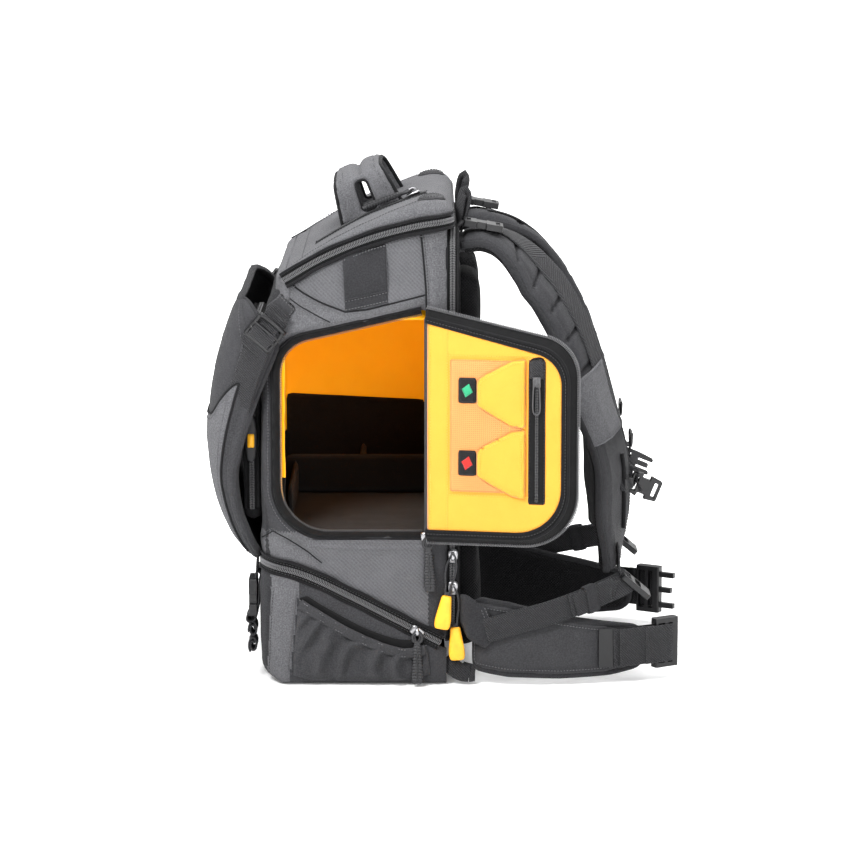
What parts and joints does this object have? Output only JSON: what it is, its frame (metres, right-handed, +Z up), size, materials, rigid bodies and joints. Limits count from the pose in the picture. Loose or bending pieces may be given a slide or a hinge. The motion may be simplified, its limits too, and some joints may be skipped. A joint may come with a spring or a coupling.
{
  "type": "camera backpack",
  "caption": "Camera backpack with an open side access door, zipped top lid, drop-down front flap, lower pouch, hinged back panel, padded shoulder straps and hip belt.",
  "frame": {"origin": "centre of the bag body's base on the ground, under the middle of the main compartment", "axes": "+Z up; -Y towards the front flap; +Y towards the wearer's back and harness; +X towards the wearer's right, where the side access door is"},
  "size_m": [0.356, 0.4614, 0.4958],
  "materials": {
    "charcoal_fabric": "matt woven synthetic",
    "grey_twill": "matt twill",
    "black_webbing": "ribbed webbing and zipper tape",
    "spacer_mesh": "black spacer mesh",
    "yellow_lining": "soft brushed lining",
    "tan_mesh": "fine open mesh",
    "green_tag": "woven tag",
    "red_tag": "woven tag",
    "buckle_plastic": "moulded, fine texture",
    "yellow_plastic": "moulded, satin",
    "slider_metal": "gunmetal, satin"
  },
  "bodies": {
    "bag_body": {"side_panel_right": "charcoal_fabric", "side_panel_left": "charcoal_fabric", "front_panel": "charcoal_fabric", "lower_pouch": "charcoal_fabric", "pouch_zipper_track": "black_webbing", "stretch_pockets": "charcoal_fabric", "compartment_lining": "yellow_lining", "shelf_divider": "yellow_lining", "lens_dividers": "black_webbing", "door_zipper_track": "black_webbing", "rear_zipper_track": "black_webbing", "lid_zipper_track": "black_webbing", "front_pocket": "charcoal_fabric", "sewn_tabs": "grey_twill", "pouch_straps": "black_webbing", "pouch_buckles": "buckle_plastic"},
    "door_zip_slider": {"door_slider": "slider_metal"},
    "door_zip_pull": {"door_pull": "buckle_plastic"},
    "rear_zip_slider_upper": {"rear_slider_upper": "slider_metal"},
    "rear_toggle_upper": {"toggle_upper": "yellow_plastic"},
    "rear_zip_slider_lower": {"rear_slider_lower": "slider_metal"},
    "rear_toggle_lower": {"toggle_lower": "yellow_plastic"},
    "pouch_zip_slider": {"pouch_slider": "slider_metal"},
    "pouch_zip_pull": {"pouch_pull": "buckle_plastic"},
    "front_pocket_pull": {"front_zip_pull": "buckle_plastic"},
    "side_door": {"door_panel": "charcoal_fabric", "door_lining": "yellow_lining", "door_mesh_pocket": "tan_mesh", "door_pocket_zipper": "black_webbing"},
    "door_pocket_slider": {"door_pocket_pull": "buckle_plastic"},
    "card_flap_upper_body": {"card_flap_upper": "yellow_lining", "card_tag_upper": "green_tag"},
    "card_flap_lower_body": {"card_flap_lower": "yellow_lining", "card_tag_lower": "red_tag"},
    "top_lid": {"lid_panel": "charcoal_fabric", "carry_handle": "grey_twill", "lid_pocket_zipper": "black_webbing"},
    "top_zip_slider": {"top_slider": "slider_metal"},
    "top_zip_pull": {"top_pull": "buckle_plastic"},
    "front_flap": {"flap_panel": "grey_twill", "flap_straps": "black_webbing", "flap_ladder_locks": "buckle_plastic"},
    "back_panel": {"back_board": "charcoal_fabric", "back_pads": "spacer_mesh", "back_webbing": "black_webbing", "adjuster_webbing": "black_webbing"},
    "strap_right": {"shoulder_pad_right": "charcoal_fabric", "strap_webbing_right": "black_webbing", "strap_buckles_right": "buckle_plastic"},
    "d_ring_right_body": {"d_ring_right": "buckle_plastic"},
    "sternum_right": {"sternum_buckle_right": "buckle_plastic"},
    "strap_left": {"shoulder_pad_left": "charcoal_fabric", "strap_webbing_left": "black_webbing", "strap_buckles_left": "buckle_plastic"},
    "d_ring_left_body": {"d_ring_left": "buckle_plastic"},
    "sternum_left": {"sternum_buckle_left": "buckle_plastic"},
    "hip_right": {"hip_wing_right": "charcoal_fabric", "waist_buckle_female": "buckle_plastic"},
    "hip_left": {"hip_wing_left": "charcoal_fabric", "waist_buckle_male": "buckle_plastic"}
  },
  "joints": [
    {"name": "side_door_hinge", "type": "hinge", "parent": "bag_body", "child": "side_door", "pos_m": [0.1523, 0.061, 0.255], "axis": [0, 0, 1], "range_deg": [-170, 0]},
    {"name": "lid_hinge", "type": "hinge", "parent": "bag_body", "child": "top_lid", "pos_m": [0, -0.076, 0.385], "axis": [1, 0, 0], "range_deg": [0, 100]},
    {"name": "front_flap_hinge", "type": "hinge", "parent": "bag_body", "child": "front_flap", "pos_m": [0, -0.105, 0.12], "axis": [1, 0, 0], "range_deg": [0, 95]},
    {"name": "back_panel_hinge", "type": "hinge", "parent": "bag_body", "child": "back_panel", "pos_m": [0, 0.086, 0.012], "axis": [1, 0, 0], "range_deg": [-70, 0]},
    {"name": "shoulder_strap_right_hinge", "type": "hinge", "parent": "back_panel", "child": "strap_right", "pos_m": [0.09, 0.095, 0.418], "axis": [1, 0, 0], "range_deg": [-5, 5]},
    {"name": "shoulder_strap_left_hinge", "type": "hinge", "parent": "back_panel", "child": "strap_left", "pos_m": [-0.09, 0.095, 0.418], "axis": [1, 0, 0], "range_deg": [-5, 5]},
    {"name": "hip_wing_right_hinge", "type": "hinge", "parent": "back_panel", "child": "hip_right", "pos_m": [0.116, 0.107, 0.048], "axis": [0, 0, 1], "range_deg": [0, 30]},
    {"name": "hip_wing_left_hinge", "type": "hinge", "parent": "back_panel", "child": "hip_left", "pos_m": [-0.116, 0.107, 0.048], "axis": [0, 0, 1], "range_deg": [-30, 0]},
    {"name": "door_zip_slide", "type": "slide", "parent": "bag_body", "child": "door_zip_slider", "axis": [0, -1, 0], "range_m": [0, 0.09]},
    {"name": "door_pull_swing", "type": "hinge", "parent": "door_zip_slider", "child": "door_zip_pull", "pos_m": [0.1516, 0.063, 0.1446], "axis": [0, -1, 0], "range_deg": [0, 60]},
    {"name": "rear_zip_upper_slide", "type": "slide", "parent": "bag_body", "child": "rear_zip_slider_upper", "axis": [0, 0, 1], "range_m": [0, 0.27]},
    {"name": "toggle_upper_swing", "type": "hinge", "parent": "rear_zip_slider_upper", "child": "rear_toggle_upper", "pos_m": [0.1467, 0.087, 0.125], "axis": [0, -1, 0], "range_deg": [0, 80]},
    {"name": "rear_zip_lower_slide", "type": "slide", "parent": "bag_body", "child": "rear_zip_slider_lower", "axis": [0, 0, 1], "range_m": [-0.005, 0.003]},
    {"name": "toggle_lower_swing", "type": "hinge", "parent": "rear_zip_slider_lower", "child": "rear_toggle_lower", "pos_m": [0.1467, 0.087, 0.094], "axis": [0, -1, 0], "range_deg": [0, 3]},
    {"name": "pouch_zip_slide", "type": "slide", "parent": "bag_body", "child": "pouch_zip_slider", "axis": [0, -0.8852, 0.4653], "range_m": [0, 0.11]},
    {"name": "pouch_pull_swing", "type": "hinge", "parent": "pouch_zip_slider", "child": "pouch_zip_pull", "pos_m": [0.1535, 0.053, 0.0532], "axis": [0, -1, 0], "range_deg": [0, 120]},
    {"name": "front_pocket_zip_slide", "type": "slide", "parent": "bag_body", "child": "front_pocket_pull", "axis": [0, 0, 1], "range_m": [-0.05, 0.06]},
    {"name": "door_pocket_zip_slide", "type": "slide", "parent": "side_door", "child": "door_pocket_slider", "axis": [0, 0, 1], "range_m": [-0.08, 0.01]},
    {"name": "card_flap_upper_hinge", "type": "hinge", "parent": "side_door", "child": "card_flap_upper_body", "pos_m": [0.18686, 0.15391, 0.289], "axis": [0, 0, 1], "range_deg": [0, 90]},
    {"name": "card_flap_lower_hinge", "type": "hinge", "parent": "side_door", "child": "card_flap_lower_body", "pos_m": [0.18686, 0.15391, 0.222], "axis": [0, 0, 1], "range_deg": [0, 90]},
    {"name": "top_pocket_zip_slide", "type": "slide", "parent": "top_lid", "child": "top_zip_slider", "axis": [0, -0.9343, -0.3565], "range_m": [0, 0.04]},
    {"name": "top_pull_swing", "type": "hinge", "parent": "top_zip_slider", "child": "top_zip_pull", "pos_m": [0.074, 0.04758, 0.46835], "axis": [1, 0, 0], "range_deg": [-120, 0]},
    {"name": "d_ring_right_swing", "type": "hinge", "parent": "strap_right", "child": "d_ring_right_body", "pos_m": [0.09, 0.2585, 0.236], "axis": [1, 0, 0], "range_deg": [0, 60]},
    {"name": "d_ring_left_swing", "type": "hinge", "parent": "strap_left", "child": "d_ring_left_body", "pos_m": [-0.09, 0.2585, 0.236], "axis": [1, 0, 0], "range_deg": [0, 60]},
    {"name": "sternum_right_slide", "type": "slide", "parent": "strap_right", "child": "sternum_right", "axis": [0, 0, 1], "range_m": [-0.025, 0.025]},
    {"name": "sternum_left_slide", "type": "slide", "parent": "strap_left", "child": "sternum_left", "axis": [0, 0, 1], "range_m": [-0.025, 0.025]}
  ]
}
